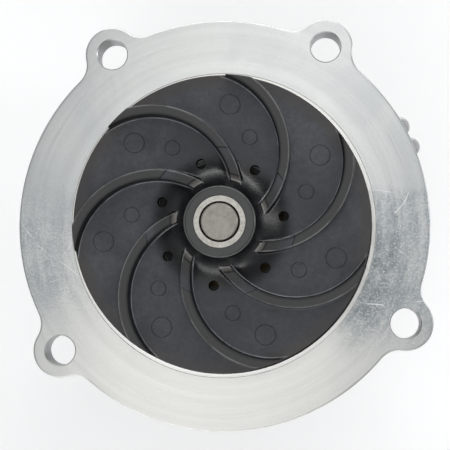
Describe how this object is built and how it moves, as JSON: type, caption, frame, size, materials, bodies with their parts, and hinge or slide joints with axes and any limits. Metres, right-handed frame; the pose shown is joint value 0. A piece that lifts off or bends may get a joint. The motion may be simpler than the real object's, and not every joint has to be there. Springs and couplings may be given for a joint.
{
  "type": "automotive water pump",
  "caption": "Water pump for a car engine: cast housing with a four-ear gasket flange, sealed shaft bearing, face seal, bladed impeller and drive hub.",
  "frame": {"origin": "centre of the drive hub's pulley seat", "axes": "+Z along the shaft from the drive hub towards the impeller; +X and +Y lie in the pulley seat, and the first ear is 60 degrees round from +X towards +Y"},
  "size_m": [0.1449, 0.144, 0.115],
  "materials": {
    "cast_aluminium": "die cast with a machined gasket face",
    "plug_steel": "plated pressed steel",
    "bearing_steel": "ground",
    "spring_steel": "dark phosphated",
    "seal_rubber": "matt moulded",
    "seal_brass": "drawn",
    "coil_steel": "drawn wire",
    "seal_carbon": "lapped face",
    "shaft_steel": "ground, faced end",
    "impeller_plastic": "moulded, slight gloss",
    "insert_steel": "turned",
    "seal_ceramic": "lapped face",
    "hub_iron": "turned, lightly oiled",
    "cage_nylon": "moulded"
  },
  "bodies": {
    "housing": {"housing": "cast_aluminium", "weep_plug": "plug_steel", "bearing_outer_ring": "bearing_steel", "bearing_retaining_ring": "spring_steel", "bearing_seal_drive": "seal_rubber", "bearing_seal_wet": "seal_rubber", "seal_case": "seal_brass", "seal_bellows": "seal_rubber", "seal_spring": "coil_steel", "seal_retainer": "seal_brass", "seal_carbon_ring": "seal_carbon"},
    "rotor": {"shaft": "shaft_steel", "impeller": "impeller_plastic", "impeller_insert": "insert_steel", "mating_ring": "seal_ceramic", "mating_ring_cup": "seal_rubber", "slinger": "seal_rubber", "drive_hub": "hub_iron"},
    "ball_row": {"bearing_balls": "bearing_steel", "ball_cage": "cage_nylon"},
    "roller_row": {"bearing_rollers": "bearing_steel", "roller_cage": "cage_nylon"}
  },
  "joints": [
    {"name": "shaft_spin", "type": "hinge", "parent": "housing", "child": "rotor", "pos_m": [0, 0, 0.041], "axis": [0, 0, 1], "continuous": true},
    {"name": "ball_row_spin", "type": "hinge", "parent": "housing", "child": "ball_row", "pos_m": [0, 0, 0.032], "axis": [0, 0, 1], "continuous": true},
    {"name": "roller_row_spin", "type": "hinge", "parent": "housing", "child": "roller_row", "pos_m": [0, 0, 0.049], "axis": [0, 0, 1], "continuous": true}
  ],
  "couplings": [
    {"joint": "ball_row_spin", "follows": "shaft_spin", "ratio": 0.34127},
    {"joint": "roller_row_spin", "follows": "shaft_spin", "ratio": 0.36523}
  ]
}
